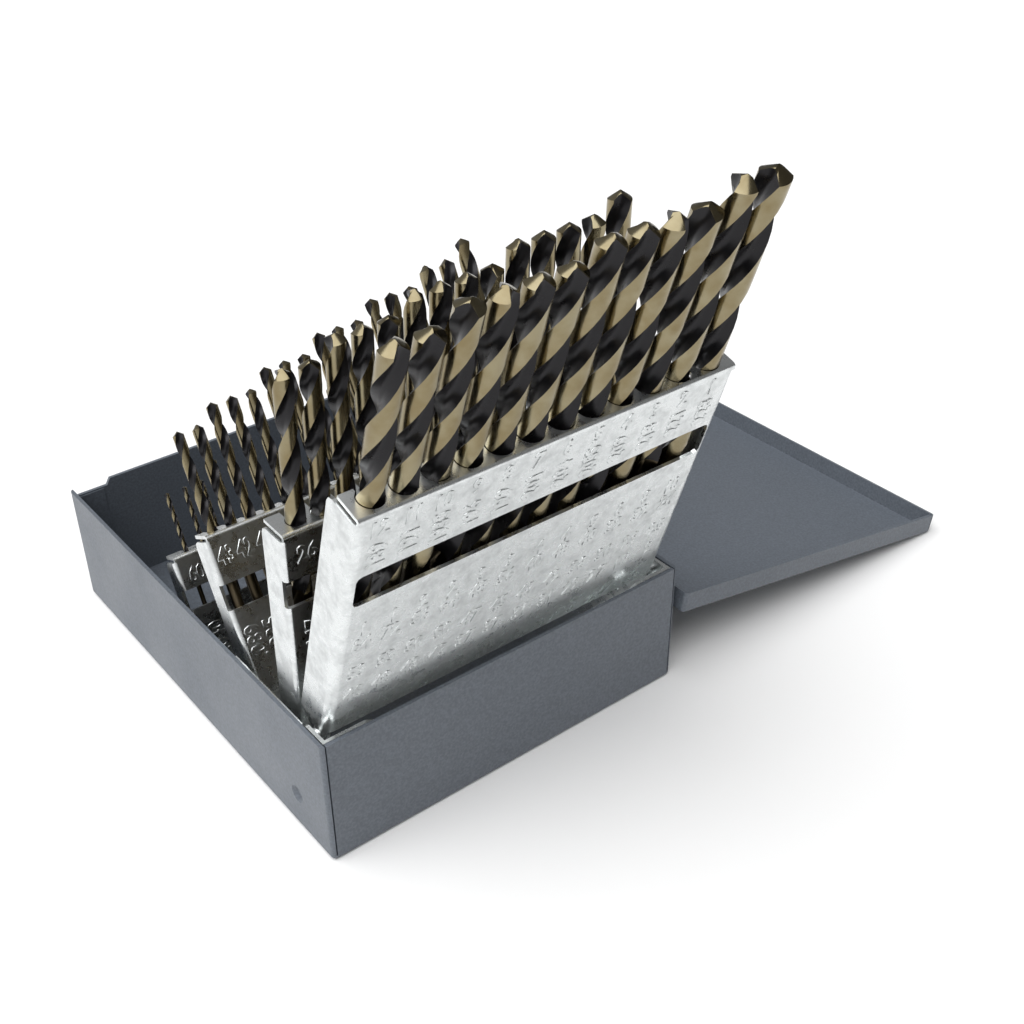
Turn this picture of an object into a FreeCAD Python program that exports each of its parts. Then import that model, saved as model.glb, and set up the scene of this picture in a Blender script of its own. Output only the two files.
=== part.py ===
import FreeCAD, Part
import Sketcher
import math
import os

# Hinged sheet-metal drill index: a shallow case with a lid on its right wall and four racks that
# swing up in a fan. Millimetres. The origin is the middle of the case's underside, +Z up, the front
# (the wall that the largest rack leans over) towards -Y, the lid's hinge towards +X.

doc = FreeCAD.newDocument("drill_index")
sheet = doc.addObject("Spreadsheet::Sheet", "sizes")
rows = [0]
named = {}


class Size:
    """A number that keeps the spreadsheet formula it came from, so geometry stays bound to it."""

    def __init__(self, value, text=None):
        self.value = float(value)
        self.text = text if text is not None else "(%.6g)" % value

    @staticmethod
    def lift(other):
        return other if isinstance(other, Size) else Size(other)

    def __add__(self, other):
        other = Size.lift(other)
        return Size(self.value + other.value, "(%s + %s)" % (self.text, other.text))

    def __radd__(self, other):
        return Size.lift(other) + self

    def __sub__(self, other):
        other = Size.lift(other)
        return Size(self.value - other.value, "(%s - %s)" % (self.text, other.text))

    def __rsub__(self, other):
        return Size.lift(other) - self

    def __mul__(self, other):
        other = Size.lift(other)
        return Size(self.value * other.value, "(%s * %s)" % (self.text, other.text))

    def __rmul__(self, other):
        return Size.lift(other) * self

    def __truediv__(self, other):
        other = Size.lift(other)
        return Size(self.value / other.value, "(%s / %s)" % (self.text, other.text))

    def __neg__(self):
        return Size(0) - self


def size(alias, value, note=""):
    """Writes one named value in the sheet and returns it."""
    rows[0] += 1
    sheet.set("A%d" % rows[0], note or alias.replace("_", " "))
    sheet.set("B%d" % rows[0], "%.6g" % value)
    sheet.setAlias("B%d" % rows[0], alias)
    named[alias] = Size(value, "sizes.%s" % alias)
    return named[alias]


def sine(angle):
    return Size(math.sin(math.radians(angle.value)), "sin(%s * 1 deg)" % angle.text)


def cosine(angle):
    return Size(math.cos(math.radians(angle.value)), "cos(%s * 1 deg)" % angle.text)


def tangent(angle):
    return sine(angle) / cosine(angle)


def root(value):
    return Size(math.sqrt(value.value), "sqrt(%s)" % value.text)


def arc_sine(value):
    return Size(math.degrees(math.asin(value.value)), "(asin(%s) / 1 deg)" % value.text)


def derived(alias, value, note):
    """Writes a value that follows from others as a formula in the sheet."""
    rows[0] += 1
    sheet.set("A%d" % rows[0], note)
    sheet.set("B%d" % rows[0], "=" + value.text.replace("sizes.", ""))
    sheet.setAlias("B%d" % rows[0], alias)
    return Size(value.value, "sizes.%s" % alias)


# ---------------------------------------------------------------- case, lid and hinge
case_width = size("case_width", 89.0, "case, outside, left to right")
case_length = size("case_length", 111.0, "case, outside, front to back")
case_height = size("case_height", 29.5, "case, outside, floor to rim")
case_sheet = size("case_sheet", 0.8, "sheet of the case and the lid")
case_bend = size("case_bend", 0.96, "outer bend radius of the case")
case_seam_foot = size("case_seam_foot", 1.2, "foot of the corner seams above the base")
case_seam_run = size("case_seam_run", 0.05, "how far a seam runs past the wall it parts")
case_corner = size("case_corner", 1.0, "outer radius of the case's upright corners")
seam_gap = size("seam_gap", 0.3, "open seam between the folded walls")
joggle_length = size("joggle_length", 8.0, "lowered rim at the back left corner")
joggle_drop = size("joggle_drop", 1.6, "how far that rim is lowered")
tab_width = size("tab_width", 7.0, "welded tab behind each seam")
tab_sheet = size("tab_sheet", 0.25, "thinned sheet of the tabs")
tab_drop = size("tab_drop", 2.0, "tab's top below the rim")
dimple_y = size("dimple_y", 12.0, "cradle dimple from the front face")
dimple_z = size("dimple_z", 8.9, "cradle dimple above the base")
dimple_radius = size("dimple_radius", 2.2, "mouth of the pressed dimple")
dimple_depth = size("dimple_depth", 0.7, "depth of the pressed dimple")
dimple_crown = size("dimple_crown", 1.2, "flat end of the raised dimple, radius")
dimple_wall = size("dimple_wall", 0.2, "dimple's side wall, measured along the case wall")
dimple_fit = size("dimple_fit", 0.15, "radial room of the cradle's hole round the dimple")

lid_gap = size("lid_gap", 0.4, "closed lid to the case, each side and above the rim")
lid_lip = size("lid_lip", 5.0, "lid's lip, outside height")
lid_bend = size("lid_bend", 0.72, "outer bend radius of the lid")
lid_seam_foot = size("lid_seam_foot", 1.2, "lid's corner seams end this far below its face")
lid_rest_gap = size("lid_rest_gap", 0.02, "open lid's outer edge above the floor")
hinge_pin_radius = size("hinge_pin_radius", 0.8)
hinge_sheet = size("hinge_sheet", 0.7, "sheet of the hinge leaves")
hinge_fit = size("hinge_fit", 0.05, "radial play of the moving knuckles")
hinge_drop = size("hinge_drop", 5.6, "hinge axis below the rim")
hinge_wall_gap = size("hinge_wall_gap", 0.35, "moving knuckles to the case wall")
knuckle_length = size("knuckle_length", 14.0, "case knuckles, length")
knuckle_gap = size("knuckle_gap", 0.4, "gap between neighbouring knuckles")
knuckle_pitch = size("knuckle_pitch", 38.0, "spacing of the three case knuckles")
case_leaf_height = size("case_leaf_height", 6.0, "case leaves below the hinge axis")
lid_leaf_height = size("lid_leaf_height", 4.6, "lid leaves above the hinge axis, lid closed")

# ---------------------------------------------------------------- cradle and racks
cradle_sheet = size("cradle_sheet", 0.8)
cradle_gap = size("cradle_gap", 0.3, "cradle to the case wall")
cradle_front_drop = size("cradle_front_drop", 1.3, "front lip below the case's rim")
cradle_ear_drop = size("cradle_ear_drop", 0.2, "ear over the first pivot, below the rim")
cradle_side_drop = size("cradle_side_drop", 1.7, "side plate below the rim")
cradle_side_end = size("cradle_side_end", 41.0, "end of the tall side plate, from the front face")
cradle_rail_height = size("cradle_rail_height", 16.0, "low rail that carries the rear pivots")
cradle_rail_end = size("cradle_rail_end", 55.0, "end of the low rail, from the front face")
cradle_floor_end = size("cradle_floor_end", 27.0, "end of the cradle's floor, from the front face")
cradle_ear_end = size("cradle_ear_end", 7.3, "end of the raised ear, from the front face")
cradle_ear_slope = size("cradle_ear_slope", 2.4, "length of the slope behind the ear")
cradle_side_round = size("cradle_side_round", 6.0, "rounded rear corner of the side plate")
cradle_rail_slope = size("cradle_rail_slope", 6.0, "sloped end of the low rail")
cradle_rail_foot = size("cradle_rail_foot", 7.2, "end of the low rail above the base")
cradle_notch = size("cradle_notch", 9.5, "raised corner of the front, from its end")
cradle_notch_slope = size("cradle_notch_slope", 2.5, "slope beside that corner")

rack_sheet = size("rack_sheet", 0.7, "zinc sheet of the racks")
rack_bend = size("rack_bend", 0.8, "outer bend radius of the racks")
rack_side_gap = size("rack_side_gap", 1.0, "washer gap from the cradle to a rack's end plate")
rivet_radius = size("rivet_radius", 1.0, "pivot rivet")
rivet_fit = size("rivet_fit", 0.06, "radial play of a rack on its rivet")
rivet_head_radius = size("rivet_head_radius", 1.4)
rivet_head = size("rivet_head", 0.7, "rivet head, thickness")
side_play = size("side_play", 0.3, "play beside each end plate")
ear_radius = size("ear_radius", 2.2, "rounded foot of the end plates")
ear_corner = size("ear_corner", 0.7, "corners of that foot, as a share of its radius")
plate_seam = size("plate_seam", 0.5, "open seam under the top plate's ends")
cap_inset = size("cap_inset", 0.5, "top plate's ends from the rack's ends")
hole_clearance = size("hole_clearance", 0.12, "radial room around each drill")
slot_radius = size("slot_radius", 1.1, "corner radius of the first rack's window")
window_bite = size("window_bite", 0.5, "how far a window reaches into the end plates")
foot_end = size("foot_end", 2.0, "foot shelf's end from the rack's end")
foot_back = size("foot_back", 0.8, "foot shelf's rear edge ahead of the top plate's")
end_round = size("end_round", 1.4, "rounded upper back corner of the end plates")
end_corner = size("end_corner", 0.3, "that corner's middle point, as a share of it")
spare = size("spare", 1.0, "how far a cut runs past what it cuts")
mouth_share = size("mouth_share", 0.62, "mouth behind each hole, as a share of the drill")

# The wire-gauge drills: number -> diameter in inches.
gauge = {
    1: 0.228, 2: 0.221, 3: 0.213, 4: 0.209, 5: 0.2055, 6: 0.204, 7: 0.201, 8: 0.199, 9: 0.196,
    10: 0.1935, 11: 0.191, 12: 0.189, 13: 0.185, 14: 0.182, 15: 0.180, 16: 0.177, 17: 0.173,
    18: 0.1695, 19: 0.166, 20: 0.161, 21: 0.159, 22: 0.157, 23: 0.154, 24: 0.152, 25: 0.1495,
    26: 0.147, 27: 0.144, 28: 0.1405, 29: 0.136, 30: 0.1285, 31: 0.120, 32: 0.116, 33: 0.113,
    34: 0.111, 35: 0.110, 36: 0.1065, 37: 0.104, 38: 0.1015, 39: 0.0995, 40: 0.098, 41: 0.096,
    42: 0.0935, 43: 0.089, 44: 0.086, 45: 0.082, 46: 0.081, 47: 0.0785, 48: 0.076, 49: 0.073,
    50: 0.070, 51: 0.067, 52: 0.0635, 53: 0.0595, 54: 0.055, 55: 0.052, 56: 0.0465, 57: 0.043,
    58: 0.042, 59: 0.041, 60: 0.040}
# Jobber lengths: last number of each step -> overall and flute length in inches.
jobber = [(2, 3.875, 2.625), (6, 3.75, 2.5), (10, 3.625, 2.4375), (13, 3.5, 2.3125),
          (17, 3.375, 2.1875), (21, 3.25, 2.125), (24, 3.125, 2.0), (27, 3.0, 1.875),
          (29, 2.875, 1.75), (32, 2.75, 1.625), (35, 2.625, 1.5), (38, 2.5, 1.4375),
          (41, 2.375, 1.375), (43, 2.25, 1.25), (46, 2.125, 1.125), (51, 2.0, 1.0),
          (55, 1.875, 0.875), (57, 1.75, 0.75), (60, 1.625, 0.6875)]
INCH = 25.4
point_angle = size("point_angle", 118.0, "included angle of the drill points")
helix_angle = size("helix_angle", 30.0, "angle of the flutes to the drill's axis")
land_angle = size("land_angle", 96.0, "arc of each land, of half a turn")
web_share = size("web_share", 0.36, "flutes' floor from the axis, as a share of the radius")
floor_share = size("floor_share", 0.3, "flute's floor from its edge, as a share of its arc")
flute_facets = size("flute_facets", 8.0, "facets in one turn of a flute")
# Numbers up to this one, the thick drills of the first rack, have their flutes cut; thinner ones
# are plain rods.
fluted_to = 12
drill_diameter = {n: size("drill_%d_diameter" % n, d * INCH) for n, d in gauge.items()}
step_length, step_flute = [], []
reached = 0
for last, overall, fluted in jobber:
    step_length.append(size("length_to_number_%d" % last, overall * INCH))
    if reached < fluted_to:
        step_flute.append(size("flutes_to_number_%d" % last, fluted * INCH))
    reached = last
drill_length, drill_flute = {}, {}
for n in gauge:
    step = [k for k, row in enumerate(jobber) if n <= row[0]][0]
    drill_length[n] = step_length[step]
    if n <= fluted_to:
        drill_flute[n] = step_flute[step]

# The racks, largest first: each swings on its own pivot and holds the drills numbered in "held".
# Folded flat they stack under the rim with fold_gap between neighbours, so only the first pivot
# has a height of its own and the others follow from the depths above them.
held = {1: (12, 1), 2: (26, 13), 3: (43, 27), 4: (60, 44)}
rack_1_pivot_drop = size("rack_1_pivot_drop", 2.6, "first pivot below the case's rim")
fold_gap = size("fold_gap", 0.4, "gap between folded racks")
drill_gap = size("drill_gap", 0.12, "gap from a rack's face to its thickest drill")
rack_1_pivot_y = size("rack_1_pivot_y", 6.4, "rack 1, pivot from the front face")
rack_1_tilt = size("rack_1_tilt", -17.7, "rack 1, tilt back from upright")
rack_1_rise = size("rack_1_rise", 56.7, "rack 1, foot to the top plate")
rack_1_foot = size("rack_1_foot", 4.5, "rack 1, foot above the pivot")
rack_1_ahead = size("rack_1_ahead", 1.9, "rack 1, front face ahead of the pivot")
rack_1_depth = size("rack_1_depth", 8.3, "rack 1, depth of the end plates")
rack_1_top = size("rack_1_top", 6.4, "rack 1, depth of the top plate")
rack_1_corner = size("rack_1_corner", 1.8, "rack 1, outer bend between face and end plates")
rack_1_margin = size("rack_1_margin", 2.5, "rack 1, room beside the outermost drills")
rack_1_window = size("rack_1_window", 14.5, "rack 1, window below the top plate")
rack_1_window_height = size("rack_1_window_height", 7.7, "rack 1, height of the window")
rack_1_skirt = size("rack_1_skirt", 1.8, "rack 1, lower edge of the face above the pivot")
rack_1_inset = size("rack_1_inset", 1.7, "rack 1, window's end from the rack's end")
rack_2_pivot_y = size("rack_2_pivot_y", 15.5, "rack 2, pivot from the front face")
rack_2_tilt = size("rack_2_tilt", -2.2, "rack 2, tilt back from upright")
rack_2_rise = size("rack_2_rise", 46.1, "rack 2, foot to the top plate")
rack_2_foot = size("rack_2_foot", 3.6, "rack 2, foot above the pivot")
rack_2_ahead = size("rack_2_ahead", 1.7, "rack 2, front face ahead of the pivot")
rack_2_depth = size("rack_2_depth", 6.95, "rack 2, depth of the end plates")
rack_2_top = size("rack_2_top", 6.8, "rack 2, depth of the top plate")
rack_2_corner = size("rack_2_corner", 0.9, "rack 2, outer bend between face and end plates")
rack_2_margin = size("rack_2_margin", 3.0, "rack 2, room beside the outermost drills")
rack_2_window = size("rack_2_window", 10.0, "rack 2, window below the top plate")
rack_2_window_height = size("rack_2_window_height", 5.9, "rack 2, height of the window")
rack_2_skirt = size("rack_2_skirt", 1.5, "rack 2, lower edge of the face above the pivot")
rack_2_inset = size("rack_2_inset", -1.0, "rack 2, window's end from the rack's end")
rack_3_pivot_y = size("rack_3_pivot_y", 26.3, "rack 3, pivot from the front face")
rack_3_tilt = size("rack_3_tilt", 27.4, "rack 3, tilt back from upright")
rack_3_rise = size("rack_3_rise", 36.4, "rack 3, foot to the top plate")
rack_3_foot = size("rack_3_foot", 7.1, "rack 3, foot above the pivot")
rack_3_ahead = size("rack_3_ahead", 1.6, "rack 3, front face ahead of the pivot")
rack_3_depth = size("rack_3_depth", 6.0, "rack 3, depth of the end plates")
rack_3_top = size("rack_3_top", 6.0, "rack 3, depth of the top plate")
rack_3_corner = size("rack_3_corner", 0.9, "rack 3, outer bend between face and end plates")
rack_3_margin = size("rack_3_margin", 1.95, "rack 3, room beside the outermost drills")
rack_3_window = size("rack_3_window", 10.35, "rack 3, window below the top plate")
rack_3_window_height = size("rack_3_window_height", 5.35, "rack 3, height of the window")
rack_3_skirt = size("rack_3_skirt", 2.5, "rack 3, lower edge of the face above the pivot")
rack_3_inset = size("rack_3_inset", -1.0, "rack 3, window's end from the rack's end")
rack_4_pivot_y = size("rack_4_pivot_y", 51.2, "rack 4, pivot from the front face")
rack_4_tilt = size("rack_4_tilt", 24.9, "rack 4, tilt back from upright")
rack_4_rise = size("rack_4_rise", 28.2, "rack 4, foot to the top plate")
rack_4_foot = size("rack_4_foot", 4.4, "rack 4, foot above the pivot")
rack_4_ahead = size("rack_4_ahead", 1.6, "rack 4, front face ahead of the pivot")
rack_4_depth = size("rack_4_depth", 4.6, "rack 4, depth of the end plates")
rack_4_top = size("rack_4_top", 4.6, "rack 4, depth of the top plate")
rack_4_corner = size("rack_4_corner", 0.9, "rack 4, outer bend between face and end plates")
rack_4_margin = size("rack_4_margin", 3.75, "rack 4, room beside the outermost drills")
rack_4_window = size("rack_4_window", 7.6, "rack 4, window below the top plate")
rack_4_window_height = size("rack_4_window_height", 4.4, "rack 4, height of the window")
rack_4_skirt = size("rack_4_skirt", 2.2, "rack 4, lower edge of the face above the pivot")
rack_4_inset = size("rack_4_inset", -1.0, "rack 4, window's end from the rack's end")
racks = {}
pivot_z = case_height - rack_1_pivot_drop
for k, (first, last) in held.items():
    rack = {key: named["rack_%d_%s" % (k, key)]
            for key in ("pivot_y", "tilt", "rise", "foot", "ahead", "depth", "top", "corner",
                        "margin", "window", "window_height", "skirt", "inset")}
    rack["first"], rack["last"] = first, last
    if k > 1:
        pivot_z = pivot_z - fold_gap - rack["ahead"]
    rack["pivot_z"] = derived("rack_%d_pivot_z" % k, pivot_z, "rack %d, pivot above the base" % k)
    rack["axis"] = derived("rack_%d_axis" % k, rack_sheet + drill_gap + drill_diameter[last] / 2,
                           "rack %d, drill axes behind the front face" % k)
    pivot_z = rack["pivot_z"] - rack["depth"] + rack["ahead"]
    racks[k] = rack
doc.recompute()

half_width = derived("half_width", case_width / 2, "half the case's width")
half_length = derived("half_length", case_length / 2, "half the case's length")
cradle_front_height = derived("cradle_front_height", case_height - cradle_front_drop,
                              "cradle's front lip above the base")
cradle_ear_height = derived("cradle_ear_height", case_height - cradle_ear_drop,
                            "ear over the first pivot, above the base")
cradle_side_height = derived("cradle_side_height", case_height - cradle_side_drop,
                             "cradle's side plate above the base")
cradle_half = derived("cradle_half", half_width - case_sheet - cradle_gap,
                      "cradle, outside, half width")
rack_half = derived("rack_half", cradle_half - cradle_sheet - rack_side_gap - side_play,
                    "racks, outside, half width")
hinge_x = derived("hinge_x", half_width + hinge_wall_gap + hinge_pin_radius + hinge_fit
                  + hinge_sheet, "hinge axis from the middle")
hinge_z = derived("hinge_z", case_height - hinge_drop, "hinge axis above the base")
lid_top = derived("lid_top", hinge_drop + lid_gap + case_sheet,
                  "closed lid's outer face above the hinge axis")
lid_near = derived("lid_near", half_width + lid_gap + case_sheet - hinge_x,
                   "lid's hinge side from the hinge axis")
lid_far = derived("lid_far", -(half_width + lid_gap + case_sheet) - hinge_x,
                  "lid's outer side from the hinge axis")
lid_half_length = derived("lid_half_length", half_length + lid_gap + case_sheet,
                          "lid, outside, half length")
lid_out, lid_up = -lid_far - lid_bend, lid_top - lid_bend
lid_reach = root(lid_out * lid_out + lid_up * lid_up)
lid_droop = derived("lid_droop", arc_sine((hinge_z - lid_rest_gap - lid_bend) / lid_reach)
                    - arc_sine(lid_up / lid_reach), "open lid's slope down to the floor")
drill_x = {}
for k, rack in racks.items():
    numbers = list(range(rack["first"], rack["last"] - 1, -1))
    rack["numbers"] = numbers
    total = drill_diameter[numbers[0]]
    for n in numbers[1:]:
        total = total + drill_diameter[n]
    rack["web"] = derived("rack_%d_web" % k, (rack_half * 2 - rack["margin"] * 2 - total)
                          / (len(numbers) - 1), "rack %d, gap between neighbouring drills" % k)
    place_x = rack["margin"] - rack_half + drill_diameter[numbers[0]] / 2
    for here, after in zip(numbers, numbers[1:] + [None]):
        drill_x[here] = derived("drill_%d_x" % here, place_x, "drill %d from the middle" % here)
        if after is not None:
            place_x = (drill_x[here] + drill_diameter[here] / 2 + rack["web"]
                       + drill_diameter[after] / 2)
doc.recompute()


# ---------------------------------------------------------------- helpers
def bind(obj, path, value):
    obj.setExpression(path, Size.lift(value).text)


def place(obj, x=0, y=0, z=0, tilt=None):
    """Binds an object's place, and its turn about X where a tilt back is given."""
    x, y, z = Size.lift(x), Size.lift(y), Size.lift(z)
    rotation = FreeCAD.Rotation()
    if tilt is not None:
        rotation = FreeCAD.Rotation(FreeCAD.Vector(1, 0, 0), -tilt.value)
    obj.Placement = FreeCAD.Placement(FreeCAD.Vector(x.value, y.value, z.value), rotation)
    for axis, value in (("x", x), ("y", y), ("z", z)):
        bind(obj, "Placement.Base." + axis, value)
    if tilt is not None:
        if rotation.Axis.x > 0:
            obj.setExpression("Placement.Rotation.Angle", "%s * 1 deg" % (-tilt).text)
        else:
            obj.setExpression("Placement.Rotation.Angle", "%s * 1 deg" % tilt.text)


def new_body(label):
    body = doc.addObject("PartDesign::Body", label)
    body.Label = label
    return body


def new_sketch(body, name, plane, offset=0):
    """A sketch on one of the body's origin planes, moved along the plane's normal."""
    sketch = body.newObject("Sketcher::SketchObject", name)
    role = {"XY": "XY_Plane", "XZ": "XZ_Plane", "YZ": "YZ_Plane"}[plane]
    feature = [f for f in body.Origin.OriginFeatures if f.Role == role][0]
    sketch.AttachmentSupport = [(feature, "")]
    sketch.MapMode = "FlatFace"
    offset = Size.lift(offset)
    sketch.AttachmentOffset = FreeCAD.Placement(FreeCAD.Vector(0, 0, offset.value),
                                                FreeCAD.Rotation())
    bind(sketch, "AttachmentOffset.Base.z", offset)
    return sketch


def locate(sketch, geo, pos, x, y, tag):
    """Fixes a sketch point at driven coordinates."""
    for kind, value in (("DistanceX", x), ("DistanceY", y)):
        value = Size.lift(value)
        index = sketch.addConstraint(Sketcher.Constraint(kind, -1, 1, geo, pos, value.value))
        name = "%s_%s" % (tag, kind[-1].lower())
        sketch.renameConstraint(index, name)
        bind(sketch, "Constraints." + name, value)


def polygon(sketch, points, tag="p"):
    """A closed outline whose corners are driven by the sheet."""
    lines = []
    points = [(Size.lift(x), Size.lift(y)) for x, y in points]
    for (x0, y0), (x1, y1) in zip(points, points[1:] + points[:1]):
        a = FreeCAD.Vector(x0.value, y0.value, 0)
        b = FreeCAD.Vector(x1.value, y1.value, 0)
        lines.append(sketch.addGeometry(Part.LineSegment(a, b), False))
    for here, after in zip(lines, lines[1:] + lines[:1]):
        sketch.addConstraint(Sketcher.Constraint("Coincident", here, 2, after, 1))
    for n, (line, (x, y)) in enumerate(zip(lines, points)):
        locate(sketch, line, 1, x, y, "%s%d" % (tag, n))
    return lines


def circle(sketch, x, y, radius, tag):
    x, y, radius = Size.lift(x), Size.lift(y), Size.lift(radius)
    geo = sketch.addGeometry(Part.Circle(FreeCAD.Vector(x.value, y.value, 0),
                                         FreeCAD.Vector(0, 0, 1), radius.value), False)
    locate(sketch, geo, 3, x, y, tag)
    index = sketch.addConstraint(Sketcher.Constraint("Radius", geo, radius.value))
    sketch.renameConstraint(index, tag + "_r")
    bind(sketch, "Constraints.%s_r" % tag, radius)


def pad(body, name, sketch, length, midplane=False, reverse=False):
    feature = body.newObject("PartDesign::Pad", name)
    feature.Profile = sketch
    length = Size.lift(length)
    feature.Length = length.value
    bind(feature, "Length", length)
    feature.Midplane = midplane
    feature.Reversed = reverse
    sketch.Visibility = False
    return feature


def pocket(body, name, sketch, length, midplane=False, reverse=False):
    feature = body.newObject("PartDesign::Pocket", name)
    feature.Profile = sketch
    length = Size.lift(length)
    feature.Length = length.value
    bind(feature, "Length", length)
    feature.Midplane = midplane
    feature.Reversed = reverse
    sketch.Visibility = False
    return feature


def fillet(body, name, base, radius, pick):
    """Rounds the edges of the last feature that pick(edge) accepts."""
    doc.recompute()
    names = ["Edge%d" % (n + 1) for n, e in enumerate(base.Shape.Edges) if pick(e)]
    feature = body.newObject("PartDesign::Fillet", name)
    feature.Base = (base, names)
    feature.Radius = radius.value
    bind(feature, "Radius", radius)
    return feature


def near(a, b, tolerance=1e-3):
    return abs(a - b) < tolerance


def edge_middle(edge):
    return edge.valueAt((edge.FirstParameter + edge.LastParameter) / 2)


# ---------------------------------------------------------------- case box
box = new_body("case_box")
outline = new_sketch(box, "box_outline", "XY")
polygon(outline, [(-half_width, -half_length), (half_width, -half_length),
                  (half_width, half_length), (-half_width, half_length)])
box_pad = pad(box, "box_block", outline, case_height)
box_corners = fillet(box, "box_corners", box_pad, case_corner,
                     lambda e: near(e.BoundBox.ZLength, case_height.value))
box_bends = fillet(box, "box_bends", box_corners, case_bend,
                   lambda e: e.BoundBox.ZMax < 1e-3)
inner = new_sketch(box, "box_inside", "XY", case_height)
polygon(inner, [(-half_width + case_sheet, -half_length + case_sheet),
                (half_width - case_sheet, -half_length + case_sheet),
                (half_width - case_sheet, half_length - case_sheet),
                (-half_width + case_sheet, half_length - case_sheet)])
box_hollow = pocket(box, "box_hollow", inner, case_height - case_sheet)
joggle = new_sketch(box, "box_joggle", "XZ", half_length + 1)
polygon(joggle, [(-half_width + case_sheet, case_height - joggle_drop),
                 (-half_width + case_sheet + joggle_length, case_height - joggle_drop),
                 (-half_width + case_sheet + joggle_length + joggle_drop, case_height + 1),
                 (-half_width + case_sheet, case_height + 1)])
joggle.AttachmentOffset = FreeCAD.Placement(FreeCAD.Vector(0, 0, -half_length.value - 1),
                                            FreeCAD.Rotation())
bind(joggle, "AttachmentOffset.Base.z", -half_length - 1)
box_joggle = pocket(box, "box_rim_joggle", joggle, case_sheet + 2, reverse=True)
seams = new_sketch(box, "box_seams", "XY", case_height)
for n, (sx, sy) in enumerate(((-1, -1), (1, -1), (1, 1), (-1, 1))):
    x0, x1 = sx * (half_width - case_sheet - seam_gap), sx * (half_width - case_sheet)
    y0, y1 = sy * (half_length - case_sheet - case_seam_run), sy * (half_length + 1)
    polygon(seams, [(x0, y0), (x1, y0), (x1, y1), (x0, y1)], "s%d_" % n)
box_seams = pocket(box, "box_corner_seams", seams, case_height - case_seam_foot)
dimple_side = case_sheet + dimple_depth
for side in (-1, 1):
    tag = "left" if side < 0 else "right"
    bump = new_sketch(box, "dimple_bump_" + tag, "XZ", half_length - dimple_y)
    polygon(bump, [(side * (half_width - case_sheet), dimple_z),
                   (side * (half_width - case_sheet), dimple_z + dimple_radius),
                   (side * (half_width - dimple_side), dimple_z + dimple_crown),
                   (side * (half_width - dimple_side), dimple_z)])
    box_bump = box.newObject("PartDesign::Revolution", "dimple_raised_" + tag)
    box_bump.Profile = bump
    box_bump.ReferenceAxis = (bump, ["Edge4"])
    box_bump.Angle = 360
    hollow = new_sketch(box, "dimple_hollow_" + tag, "XZ", half_length - dimple_y)
    polygon(hollow, [(side * (half_width + 0.01), dimple_z),
                     (side * (half_width + 0.01), dimple_z + dimple_radius - dimple_wall),
                     (side * (half_width - dimple_depth), dimple_z + dimple_crown - dimple_wall),
                     (side * (half_width - dimple_depth), dimple_z)])
    box_hollowed = box.newObject("PartDesign::Groove", "dimple_pressed_" + tag)
    box_hollowed.Profile = hollow
    box_hollowed.ReferenceAxis = (hollow, ["Edge4"])
    box_hollowed.Angle = 360
doc.recompute()
box.Tip = box_hollowed

# Tabs of the side walls, spot-welded behind the front and back walls.
tabs = []
for n, (sx, sy) in enumerate(((-1, -1), (1, -1), (1, 1), (-1, 1))):
    tab = new_body("corner_tab_%d" % (n + 1))
    shape = new_sketch(tab, "tab_outline_%d" % (n + 1), "XY", case_sheet)
    x0 = sx * (half_width - case_sheet)
    y0, y1 = sy * (half_length - case_sheet), sy * (half_length - case_sheet - tab_sheet)
    polygon(shape, [(x0, y0), (x0 - sx * tab_width, y0), (x0 - sx * tab_width, y1), (x0, y1)])
    pad(tab, "tab_plate_%d" % (n + 1), shape, case_height - case_sheet - tab_drop)
    tabs.append(tab)


# ---------------------------------------------------------------- hinge
def barrel(label, owner, y0, y1, outer, bore, leaf):
    """One knuckle with its leaf, about the body's own Y axis. leaf is the leaf's outline in XZ."""
    knuckle = new_body(label)
    profile = new_sketch(knuckle, label + "_profile", "XZ", -y0)
    circle(profile, 0, 0, outer, "outer")
    pad(knuckle, label + "_roll", profile, y1 - y0, reverse=True)
    flat = new_sketch(knuckle, label + "_leaf_outline", "XZ", -y0)
    polygon(flat, leaf)
    pad(knuckle, label + "_leaf", flat, y1 - y0, reverse=True)
    eye = new_sketch(knuckle, label + "_eye", "XZ", -y0 + 1)
    circle(eye, 0, 0, bore, "bore")
    last = pocket(knuckle, label + "_bore", eye, y1 - y0 + 2)
    doc.recompute()
    return knuckle


leaf_in = half_width - hinge_x
case_knuckles = []
for n in (-1, 0, 1):
    y0 = knuckle_pitch * n - knuckle_length / 2
    y1 = knuckle_pitch * n + knuckle_length / 2
    knuckle = barrel("case_knuckle_%d" % (n + 2), "case", y0, y1, hinge_pin_radius + hinge_sheet,
                     hinge_pin_radius,
                     [(leaf_in, -case_leaf_height), (leaf_in + hinge_sheet, -case_leaf_height),
                      (leaf_in + hinge_sheet, -hinge_pin_radius), (-0.2, -hinge_pin_radius),
                      (-0.2, hinge_pin_radius + hinge_sheet * 0.5), (leaf_in, 0)])
    place(knuckle, hinge_x, 0, hinge_z)
    case_knuckles.append(knuckle)
lid_knuckles = []
for n in (-1, 1):
    middle = knuckle_pitch * n / 2
    half = (knuckle_pitch - knuckle_length) / 2 - knuckle_gap
    knuckle = barrel("lid_knuckle_%d" % (1 if n < 0 else 2), "lid", middle - half, middle + half,
                     hinge_pin_radius + hinge_fit + hinge_sheet, hinge_pin_radius + hinge_fit,
                     [(lid_near, hinge_pin_radius), (lid_near + hinge_sheet, hinge_pin_radius),
                      (lid_near + hinge_sheet, lid_leaf_height), (lid_near, lid_leaf_height)])
    lid_knuckles.append(knuckle)
pin = doc.addObject("Part::Cylinder", "hinge_pin")
pin.Label = "hinge_pin"
bind(pin, "Radius", hinge_pin_radius)
bind(pin, "Height", knuckle_pitch * 2 + knuckle_length + 2)
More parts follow.
